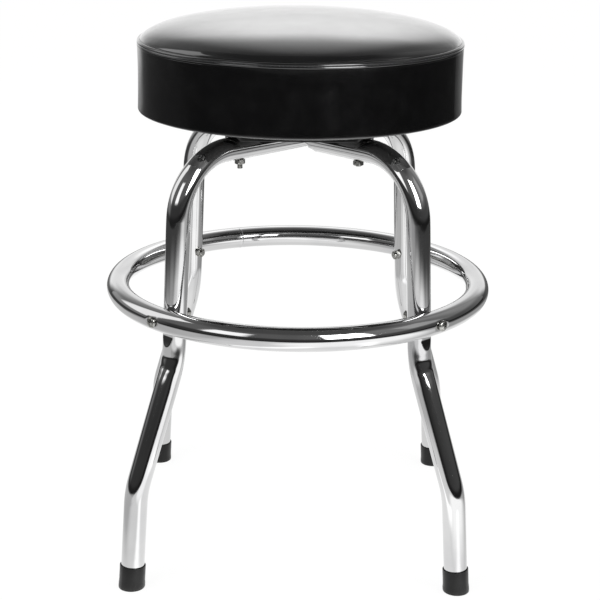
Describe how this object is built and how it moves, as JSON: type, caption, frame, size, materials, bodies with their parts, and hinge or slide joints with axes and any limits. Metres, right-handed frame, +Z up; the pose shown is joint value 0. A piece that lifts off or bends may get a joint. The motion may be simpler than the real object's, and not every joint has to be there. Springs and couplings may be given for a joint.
{
  "type": "swivel stool",
  "caption": "Round padded swivel stool with a deep black vinyl cushion, bent chromed tube legs, an outer foot ring and capped feet.",
  "frame": {"origin": "on the floor, on the axis that the seat turns about, midway between the four feet", "axes": "+Z up; the picture is taken from -Y, with +X to its right; the legs lie on the diagonals of X and Y"},
  "size_m": [0.4318, 0.4318, 0.6018],
  "materials": {
    "chromed_tube": "polished",
    "zinc_fasteners": "satin",
    "black_plate_paint": "satin",
    "bearing_steel": "polished",
    "black_cap": "satin",
    "plywood": "matte",
    "cushion_foam": "matte",
    "black_vinyl": "gloss"
  },
  "bodies": {
    "frame": {"leg_hoop_lower": "chromed_tube", "leg_hoop_upper": "chromed_tube", "foot_ring": "chromed_tube", "swivel_lower_plate": "black_plate_paint", "foot_cap_front_left": "black_cap", "ring_screw_front_left": "zinc_fasteners", "ring_nut_front_left": "zinc_fasteners", "plate_bolt_front_left": "zinc_fasteners", "plate_nut_front_left": "zinc_fasteners", "foot_cap_front_right": "black_cap", "ring_screw_front_right": "zinc_fasteners", "ring_nut_front_right": "zinc_fasteners", "plate_bolt_front_right": "zinc_fasteners", "plate_nut_front_right": "zinc_fasteners", "foot_cap_back_left": "black_cap", "ring_screw_back_left": "zinc_fasteners", "ring_nut_back_left": "zinc_fasteners", "plate_bolt_back_left": "zinc_fasteners", "plate_nut_back_left": "zinc_fasteners", "foot_cap_back_right": "black_cap", "ring_screw_back_right": "zinc_fasteners", "ring_nut_back_right": "zinc_fasteners", "plate_bolt_back_right": "zinc_fasteners", "plate_nut_back_right": "zinc_fasteners"},
    "ball_cage": {"swivel_ball_cage": "bearing_steel"},
    "seat": {"swivel_upper_plate": "black_plate_paint", "seat_board": "plywood", "seat_foam": "cushion_foam", "seat_top_cover": "black_vinyl", "seat_side_band": "black_vinyl", "seat_welt": "black_vinyl", "seat_screw_front_left": "zinc_fasteners", "seat_screw_front_right": "zinc_fasteners", "seat_screw_back_left": "zinc_fasteners", "seat_screw_back_right": "zinc_fasteners"}
  },
  "joints": [
    {"name": "seat_swivel", "type": "hinge", "parent": "frame", "child": "seat", "pos_m": [0, 0, 0.48695], "axis": [0, 0, 1], "continuous": true},
    {"name": "cage_roll", "type": "hinge", "parent": "frame", "child": "ball_cage", "pos_m": [0, 0, 0.48695], "axis": [0, 0, 1], "continuous": true}
  ],
  "couplings": [
    {"joint": "cage_roll", "follows": "seat_swivel", "ratio": 0.5}
  ]
}
